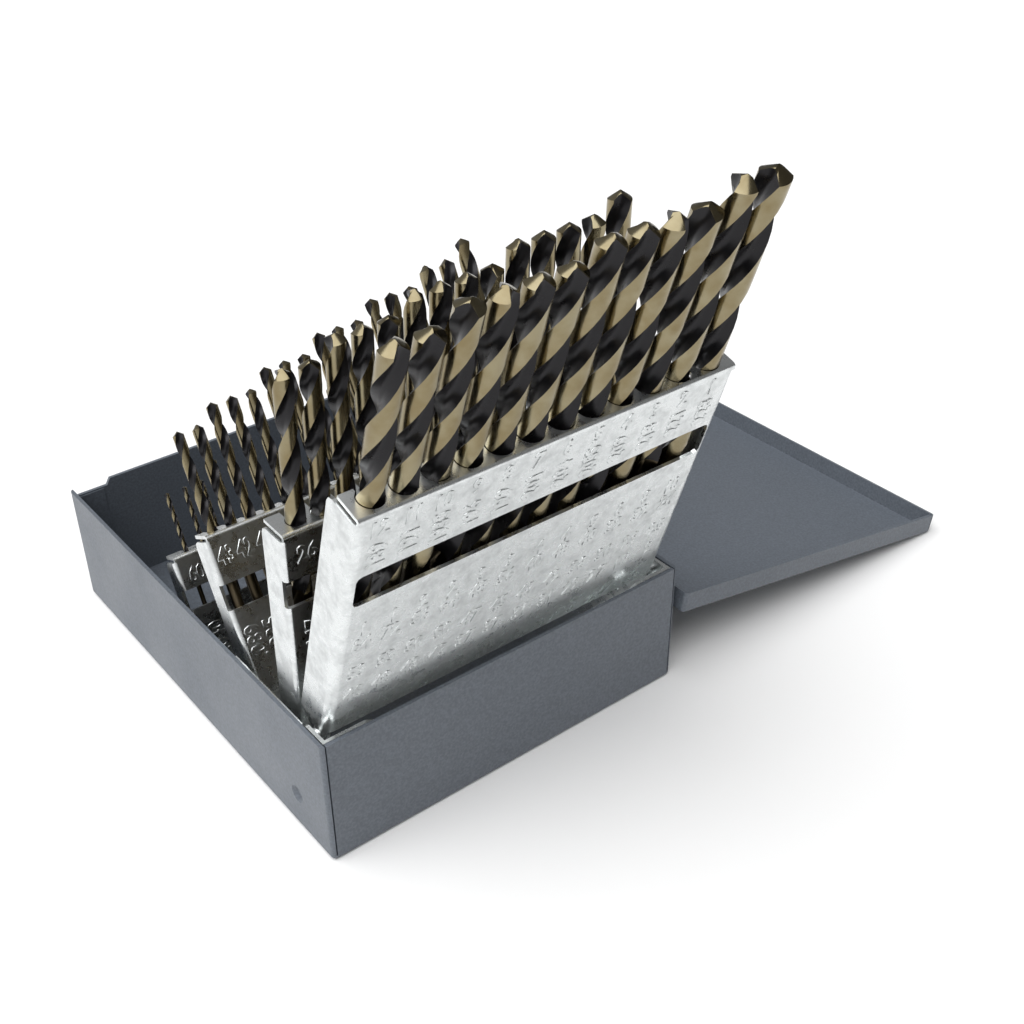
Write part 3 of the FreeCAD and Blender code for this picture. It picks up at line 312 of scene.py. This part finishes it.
def bright_zinc():
    """Bright zinc plate on rolled steel strip: between mirror and satin, with a fine grain of
    about 0.4 mm and a mottle of about 3 mm left by the plating bath."""
    material, tree, shader = new_material("bright_zinc")
    base = list(bpy.context.scene.index_colours.zinc)
    place = add_node(tree, "ShaderNodeTexCoord").outputs["Object"]
    mottle = add_node(tree, "ShaderNodeTexNoise", {"Vector": place, "Scale": 330.0, "Detail": 6.0,
                                                   "Roughness": 0.7})
    cloud = add_node(tree, "ShaderNodeMapRange", {
        "Value": mottle.outputs["Fac"], "From Min": 0.34, "From Max": 0.55})
    grain = add_node(tree, "ShaderNodeTexNoise", {"Vector": place, "Scale": 2600.0, "Detail": 3.0})
    tone = add_node(tree, "ShaderNodeMix", {
        "Factor": cloud.outputs["Result"], "A": [c * 0.78 for c in base[:3]] + [1],
        "B": base[:3] + [1]}, data_type="RGBA")
    rough = add_node(tree, "ShaderNodeMapRange", {
        "Value": mottle.outputs["Fac"], "From Min": 0.35, "From Max": 0.65,
        "To Min": 0.38, "To Max": 0.22})
    relief = add_node(tree, "ShaderNodeBump", {
        "Height": grain.outputs["Fac"], "Strength": 0.12, "Distance": 0.00003})
    tree.links.new(tone.outputs["Result"], shader.inputs["Base Color"])
    tree.links.new(rough.outputs["Result"], shader.inputs["Roughness"])
    tree.links.new(relief.outputs["Normal"], shader.inputs["Normal"])
    shader.inputs["Metallic"].default_value = 1.0
    return material


def tempered(name, base, dark, roughness):
    """High-speed steel ground and tempered: satin metal whose temper colour drifts over about
    4 mm, with a fine grinding grain of about 0.4 mm."""
    material, tree, shader = new_material(name)
    place = add_node(tree, "ShaderNodeTexCoord").outputs["Object"]
    drift = add_node(tree, "ShaderNodeTexNoise", {"Vector": place, "Scale": 240.0, "Detail": 4.0})
    temper = add_node(tree, "ShaderNodeMapRange", {
        "Value": drift.outputs["Fac"], "From Min": 0.35, "From Max": 0.65})
    tone = add_node(tree, "ShaderNodeMix", {
        "Factor": temper.outputs["Result"], "A": [c * f for c, f in zip(base, dark)] + [1],
        "B": list(base[:3]) + [1]}, data_type="RGBA")
    grind = add_node(tree, "ShaderNodeTexNoise", {"Vector": place, "Scale": 2600.0, "Detail": 2.0})
    relief = add_node(tree, "ShaderNodeBump", {
        "Height": grind.outputs["Fac"], "Strength": 0.15, "Distance": 0.00003})
    tree.links.new(tone.outputs["Result"], shader.inputs["Base Color"])
    tree.links.new(relief.outputs["Normal"], shader.inputs["Normal"])
    shader.inputs["Metallic"].default_value = 1.0
    shader.inputs["Roughness"].default_value = roughness
    return material


def straw_land():
    """The lands: satin straw gold, browner in places."""
    return tempered("straw_land", bpy.context.scene.index_colours.straw, (0.78, 0.72, 0.62), 0.24)


# How bright the ground points are beside the lands: the lands' colour darkened throughout as
# painted shade.
POINT_PAINTED_SHADE = 0.62


def ground_point():
    """Ground points: the lands' steel with its temper drift, darkened throughout as painted shade,
    and with a harder shine.
    """
    base = [c * POINT_PAINTED_SHADE for c in bpy.context.scene.index_colours.straw[:3]]
    return tempered("ground_point", base, (0.80, 0.76, 0.70), 0.20)


def brown_shank():
    """The plain shanks, tempered to a dull brown."""
    return tempered("brown_shank", bpy.context.scene.index_colours.shank, (0.72, 0.70, 0.66), 0.28)


def black_oxide():
    """Steam-blacked flutes, polished by grinding before the oxide: a dark, smooth, soft gloss
    that varies over about 2 mm."""
    material, tree, shader = new_material("black_oxide")
    base = list(bpy.context.scene.index_colours.oxide)
    place = add_node(tree, "ShaderNodeTexCoord").outputs["Object"]
    cloud = add_node(tree, "ShaderNodeTexNoise", {"Vector": place, "Scale": 500.0, "Detail": 3.0})
    tone = add_node(tree, "ShaderNodeMix", {
        "Factor": cloud.outputs["Fac"], "A": base[:3] + [1],
        "B": [c * 1.8 for c in base[:3]] + [1]}, data_type="RGBA")
    rough = add_node(tree, "ShaderNodeMapRange", {
        "Value": cloud.outputs["Fac"], "From Min": 0.3, "From Max": 0.7,
        "To Min": 0.26, "To Max": 0.38})
    tree.links.new(tone.outputs["Result"], shader.inputs["Base Color"])
    tree.links.new(rough.outputs["Result"], shader.inputs["Roughness"])
    shader.inputs["Metallic"].default_value = 0.6
    return material


FINISHES = {"satin_enamel": satin_enamel, "bright_zinc": bright_zinc, "straw_land": straw_land,
            "black_oxide": black_oxide, "ground_point": ground_point, "brown_shank": brown_shank}


def finish(name):
    return bpy.data.materials.get(name) or FINISHES[name]()


# ---------------------------------------------------------------- case, lid, racks
class INDEX_OT_case(bpy.types.Operator):
    """Finish the case, its corner tabs and the hinge"""
    bl_idname = "drill_index.case"
    bl_label = "Case and hinge"

    def execute(self, context):
        for node in ("case_box", "corner_tabs", "case_knuckle_1", "case_knuckle_2",
                     "case_knuckle_3"):
            paint_node(node, finish("satin_enamel"))
        paint_node("hinge_pin", finish("bright_zinc"))
        return {"FINISHED"}


class INDEX_OT_lid(bpy.types.Operator):
    """Finish the lid pan and its knuckles"""
    bl_idname = "drill_index.lid"
    bl_label = "Lid"

    def execute(self, context):
        for node in ("lid_pan", "lid_knuckle_1", "lid_knuckle_2"):
            paint_node(node, finish("satin_enamel"))
        return {"FINISHED"}


class INDEX_OT_racks(bpy.types.Operator):
    """Finish the cradle, the four racks and their rivets"""
    bl_idname = "drill_index.racks"
    bl_label = "Cradle and racks"

    def execute(self, context):
        paint_node("rack_cradle", finish("bright_zinc"))
        for k in RACKS:
            paint_node("rack_%d_frame" % k, finish("bright_zinc"))
            paint_node("rack_%d_rivets" % k, finish("bright_zinc"))
        return {"FINISHED"}


# ---------------------------------------------------------------- numerals
def stamp(text, sizes, room, upright=True):
    """A stamped numeral about the origin, facing forwards, with bevelled edges."""
    leave_edit()
    bpy.ops.object.select_all(action="DESELECT")
    bpy.ops.object.text_add()
    mark = bpy.context.object
    mark.data.body = text
    mark.data.size = sizes.numeral_height / FIGURE_SHARE
    mark.data.align_x, mark.data.align_y = "CENTER", "CENTER"
    mark.data.extrude = sizes.numeral_relief * 0.5
    mark.data.bevel_depth = sizes.numeral_relief * 0.5
    mark.data.bevel_resolution = 0
    mark.data.offset = sizes.numeral_height * STROKE_GAIN
    mark.data.resolution_u = 2
    bpy.ops.object.convert(target="MESH")
    mark = bpy.context.object
    centre = sum((Vector(corner) for corner in mark.bound_box), Vector()) / 8
    width = mark.bound_box[4][0] - mark.bound_box[0][0]
    squeeze = min(WIDEST, room / width)
    turn = Matrix.Identity(4) if upright else Matrix.Rotation(math.radians(90), 4, "Z")
    mark.data.transform(Matrix.Rotation(math.radians(90), 4, "X") @ turn
                        @ Matrix.Diagonal((squeeze, 1, 1, 1)) @ Matrix.Translation(-centre))
    return mark


class INDEX_OT_numerals(bpy.types.Operator):
    """Stamp the gauge numbers, the diameters and the first rack's tapping chart"""
    bl_idname = "drill_index.numerals"
    bl_label = "Stamped numerals"

    def execute(self, context):
        sizes = context.scene.index_sizes
        for k, rack in RACKS.items():
            top = rack["foot"] + rack["rise"]
            sill = top - rack["window"] - rack["window_height"]
            places = drill_places(rack)
            pitch = (places[rack["held"][1]] - places[rack["held"][0]]) / (len(places) - 1) * MM
            marks = []
            for column, (number, x) in enumerate(places.items()):
                decimal = ("%g" % GAUGE[number - 1]).replace(".", "")
                drop = FIRST_NUMBER_DROP if k == 1 else NUMBER_DROP
                rows = [(str(number), top - drop, pitch * NUMBER_ROOM, True)]
                if k == 1:
                    rows.append((decimal, top - FIRST_DIAMETER_DROP, FIRST_DIAMETER_ROOM, False))
                    for text, drop in zip(CHART[column], CHART_DROPS):
                        rows.append((str(text), sill - drop, pitch * CHART_ROOM, True))
                else:
                    rows.append(("." + decimal.zfill(3), sill - DIAMETER_DROP, DIAMETER_ROOM,
                                 False))
                for text, height, room, upright in rows:
                    mark = stamp(text, sizes, room, upright)
                    mark.data.transform(rack_matrix(rack)
                                        @ Matrix.Translation((x, -rack["ahead"], height))
                                        @ Matrix.Scale(1 / MM, 4))
                    marks.append(mark)
            piece = join(marks, "rack_%d_numerals" % k)
            piece.data.materials.clear()
            piece.data.materials.append(finish("bright_zinc"))
            settle(piece, "rack_%d" % k, "rack_zinc")
        return {"FINISHED"}


# ---------------------------------------------------------------- drills
def flute_outline():
    """A unit two-flute outline: a ring whose flute points are drawn in towards the axis."""
    leave_edit()
    bpy.ops.object.select_all(action="DESELECT")
    bpy.ops.mesh.primitive_circle_add(vertices=len(SECTION) * 2, radius=1, fill_type="NOTHING")
    outline = bpy.context.object
    outline.name = "flute_outline"
    bpy.ops.object.mode_set(mode="EDIT")
    for step, share in enumerate(SECTION):
        if share < 1:
            pick(outline, "verts", lambda v: v.index % len(SECTION) == step)
            bpy.ops.transform.resize(value=(share, share, 1), center_override=(0, 0, 0))
    bpy.ops.object.mode_set(mode="OBJECT")
    return outline


def drill_point(outline, slope, relief):
    """A unit point on the outline: its lips stand on the cone and its heels lie lower, and its
    flutes run on up to its faces."""
    only(outline)
    bpy.ops.object.duplicate()
    point = bpy.context.object
    point.name = "drill_point"
    bpy.ops.object.mode_set(mode="EDIT")
    bpy.ops.mesh.select_all(action="SELECT")
    bpy.ops.mesh.extrude_region_move(TRANSFORM_OT_translate={"value": (0, 0, 2)})
    bpy.ops.mesh.edge_face_add()
    bpy.ops.mesh.poke()
    pick(point, "verts", lambda v: v.co.xy.length < 0.01)
    bpy.ops.transform.translate(value=(0, 0, slope + relief - 2))
    count = len(SECTION)
    for step, share in enumerate(SECTION):
        if step <= LIP:
            rise = relief * (step / LIP)
        else:
            rise = relief * min(1, (count - step) / (count - FLUTE_FLOOR))
        pick(point, "verts", lambda v: v.co.z > 1.9 and round(
            (math.atan2(v.co.y, v.co.x) - math.pi / 2) / math.pi * count) % count == step)
        bpy.ops.transform.translate(value=(0, 0, slope * (1 - share) + rise - 2))
    bpy.ops.object.mode_set(mode="OBJECT")
    return point


def twist_drill(number, outline, point, sizes):
    """One drill standing on the origin: shank, twisted flutes and point."""
    radius = diameter(number) / 2
    overall, fluted = lengths(number)
    slope = 1 / math.tan(sizes.point_angle / 2)
    start = overall - fluted
    runout = radius * RUNOUT
    twist_height = overall - radius * (slope + sizes.point_relief) - start - runout
    turn = twist_height * math.tan(sizes.helix_angle) / radius
    steps = max(8, int(turn / (2 * math.pi) * sizes.flute_steps))
    only(outline)
    bpy.ops.object.duplicate()
    body = bpy.context.object
    body.scale = (radius, radius, radius)
    body.location = (0, 0, start + runout)
    bpy.ops.object.transform_apply(location=False, rotation=False, scale=True)
    twist = body.modifiers.new("twist", "SCREW")
    twist.axis = "Z"
    twist.angle = turn
    twist.screw_offset = twist_height
    twist.steps = twist.render_steps = steps
    twist.use_smooth_shade = True
    bpy.ops.object.modifier_apply(modifier="twist")
    only(point)
    bpy.ops.object.duplicate()
    tip = bpy.context.object
    tip.scale = (radius, radius, radius)
    tip.rotation_euler = (0, 0, turn)
    tip.location = (0, 0, start + runout + twist_height)
    bpy.ops.object.select_all(action="DESELECT")
    chamfer = radius * CHAMFER
    bpy.ops.mesh.primitive_cylinder_add(vertices=len(SECTION) * 2, radius=radius, depth=start,
                                        location=(0, 0, start / 2))
    shank = bpy.context.object
    bpy.ops.object.mode_set(mode="EDIT")
    pick(shank, "faces", lambda f: f.normal.z < -0.9)
    bpy.ops.mesh.inset(thickness=chamfer)
    pick(shank, "verts", lambda v: v.co.z < 0 and v.co.xy.length > radius * 0.99)
    bpy.ops.transform.translate(value=(0, 0, chamfer))
    pick(shank, "faces", lambda f: f.normal.z > 0.9)
    bpy.ops.mesh.delete(type="ONLY_FACE")
    bpy.ops.object.mode_set(mode="OBJECT")
    drill = join([shank, body, tip], "drill_%02d" % number)
    bpy.ops.object.transform_apply(location=True, rotation=True, scale=True)
    bpy.ops.object.mode_set(mode="EDIT")
    low, high = start - radius * 0.05, start + runout + radius * 0.05
    pick(drill, "edges", lambda e: e.is_boundary and all(low < v.co.z < high for v in e.verts))
    bpy.ops.mesh.bridge_edge_loops()
    bpy.ops.mesh.select_all(action="SELECT")
    bpy.ops.mesh.remove_doubles(threshold=radius * 0.02)
    bpy.ops.mesh.normals_make_consistent(inside=False)
    bpy.ops.object.mode_set(mode="OBJECT")
    for slot in ("straw_land", "black_oxide", "ground_point", "brown_shank"):
        drill.data.materials.append(finish(slot))
    for face in drill.data.polygons:
        reaches = [Vector(drill.data.vertices[v].co.xy).length for v in face.vertices]
        if face.center.z < start + runout / 2:
            face.material_index = 3
        elif min(reaches) < radius * 0.02:
            face.material_index = 2
        elif min(reaches) < radius * 0.97:
            face.material_index = 1
    lip_turn = math.radians(TURNED[number - 1] - 90 - LIP / 2 / len(SECTION) * 180)
    drill.data.transform(Matrix.Rotation(lip_turn - turn, 4, "Z"))
    return drill


class INDEX_OT_drills(bpy.types.Operator):
    """Model the sixty twist drills and stand them in their racks"""
    bl_idname = "drill_index.drills"
    bl_label = "Twist drills"

    def execute(self, context):
        sizes = context.scene.index_sizes
        outline = flute_outline()
        point = drill_point(outline, 1 / math.tan(sizes.point_angle / 2), sizes.point_relief)
        for k, rack in RACKS.items():
            places = drill_places(rack)
            made = []
            for number, x in places.items():
                drill = twist_drill(number, outline, point, sizes)
                y = -rack["ahead"] + RACK_SHEET + DRILL_GAP + diameter(held(rack)[-1]) / MM / 2
                drill.data.transform(rack_matrix(rack)
                                     @ Matrix.Translation((x, y, rack["foot"]))
                                     @ Matrix.Scale(1 / MM, 4))
                made.append(drill)
            piece = join(made, "rack_%d_twist_drills" % k)
            only(piece)
            bpy.ops.object.shade_smooth_by_angle(angle=math.radians(35))
            settle(piece, "rack_%d" % k, "drill_steel", "rack_%d_drills" % k)
        for spare in (outline, point):
            bpy.data.objects.remove(spare)
        return {"FINISHED"}


# ---------------------------------------------------------------- stage
# The room is lit from its bright side; the other side keeps a dim glow. One broad sun adds the
# shadows.
BRIGHT_SIDE = (-0.95, 0.25, -0.15)
ROOM_DIM, ROOM_BRIGHT = 0.17, 0.78
SUN_STRENGTH = 3.1
SUN_WIDTH = math.radians(66)
SUN_DIRECTION = (0.34, 0.08, -0.94)
FLOOR_TONE = "#f0f0f0"
# The camera's place, focal length in pixels and picture centre, for a picture 1024 pixels wide.
PICTURE = 1024
SENSOR = 36
CAMERA = (
    (0.7918047, 0.3561087, -0.4962175, -0.1281628),
    (-0.6105690, 0.4404414, -0.6581921, -0.2177707),
    (-0.0158332, 0.8241347, 0.5661726, 0.1999593),
    (0, 0, 0, 1),
)
FOCAL = 1359.3
CENTRE = (488.2, 532.0)


class INDEX_OT_stage(bpy.types.Operator):
    """Set the pale floor, the soft lights and the camera"""
    bl_idname = "drill_index.stage"
    bl_label = "Stage"

    def execute(self, context):
        scene = context.scene
        leave_edit()
        bpy.ops.object.select_all(action="DESELECT")
        bpy.ops.mesh.primitive_plane_add(size=6, location=(0, 0, -0.0001))
        floor = context.object
        floor.name = "pale_floor"
        material, tree, shader = new_material("pale_floor")
        shader.inputs["Base Color"].default_value = linear(FLOOR_TONE)
        shader.inputs["Roughness"].default_value = 0.6
        floor.data.materials.append(material)
        world = bpy.data.worlds.new("soft_room")
        scene.world = world
        world.use_nodes = True
        tree = world.node_tree
        tree.nodes.clear()
        ray = add_node(tree, "ShaderNodeLightPath")
        aim = add_node(tree, "ShaderNodeTexCoord").outputs["Generated"]
        side = add_node(tree, "ShaderNodeVectorMath", {0: aim, 1: BRIGHT_SIDE},
                        operation="DOT_PRODUCT")
        level = add_node(tree, "ShaderNodeMapRange", {
            "Value": side.outputs["Value"], "From Min": -0.7, "From Max": 0.8,
            "To Min": ROOM_DIM, "To Max": ROOM_BRIGHT}, interpolation_type="SMOOTHSTEP")
        room = add_node(tree, "ShaderNodeBackground", {"Color": (1, 1, 1, 1),
                                                       "Strength": level.outputs["Result"]})
        white = add_node(tree, "ShaderNodeBackground", {"Color": (1, 1, 1, 1), "Strength": 1.0})
        mix = add_node(tree, "ShaderNodeMixShader", {0: ray.outputs["Is Camera Ray"],
                                                     1: room.outputs[0], 2: white.outputs[0]})
        add_node(tree, "ShaderNodeOutputWorld", {"Surface": mix.outputs[0]})
        bpy.ops.object.light_add(type="SUN", location=(-0.8, 0.2, 1.0))
        lamp = context.object
        lamp.name = "window_light"
        lamp.data.energy = SUN_STRENGTH
        lamp.data.angle = SUN_WIDTH
        lamp.rotation_euler = Vector(SUN_DIRECTION).to_track_quat("-Z", "Y").to_euler()
        bpy.ops.object.camera_add()
        camera = context.object
        camera.name = "view_camera"
        camera.matrix_world = Matrix(CAMERA)
        camera.data.sensor_width = SENSOR
        camera.data.lens = FOCAL * SENSOR / PICTURE
        camera.data.shift_x = (PICTURE / 2 - CENTRE[0]) / PICTURE
        camera.data.shift_y = (CENTRE[1] - PICTURE / 2) / PICTURE
        camera.data.clip_start = 0.01
        scene.camera = camera
        scene.view_settings.view_transform = "Standard"
        return {"FINISHED"}


class INDEX_PT_panel(bpy.types.Panel):
    """Lists the steps that build the drill index"""
    bl_idname = "INDEX_PT_panel"
    bl_label = "Drill index"
    bl_space_type = "VIEW_3D"
    bl_region_type = "UI"
    bl_category = "Drill index"

    def draw(self, context):
        layout = self.layout
        for group in (context.scene.index_sizes, context.scene.index_colours):
            for name in group.bl_rna.properties.keys():
                if name not in ("rna_type", "name"):
                    layout.prop(group, name)
        for step in STEPS:
            layout.operator(step.bl_idname)


STEPS = (INDEX_OT_case, INDEX_OT_lid, INDEX_OT_racks, INDEX_OT_numerals, INDEX_OT_drills,
         INDEX_OT_stage)
CLASSES = (IndexSizes, IndexColours) + STEPS + (INDEX_PT_panel,)


def register():
    for cls in CLASSES:
        bpy.utils.register_class(cls)
    bpy.types.Scene.index_sizes = PointerProperty(type=IndexSizes)
    bpy.types.Scene.index_colours = PointerProperty(type=IndexColours)


def unregister():
    del bpy.types.Scene.index_colours
    del bpy.types.Scene.index_sizes
    for cls in reversed(CLASSES):
        bpy.utils.unregister_class(cls)


def main():
    register()
    bpy.ops.drill_index.case()
    bpy.ops.drill_index.lid()
    bpy.ops.drill_index.racks()
    bpy.ops.drill_index.numerals()
    bpy.ops.drill_index.drills()
    bpy.ops.drill_index.stage()
    leave_edit()
    bpy.ops.object.select_all(action="DESELECT")


if __name__ == "__main__":
    main()
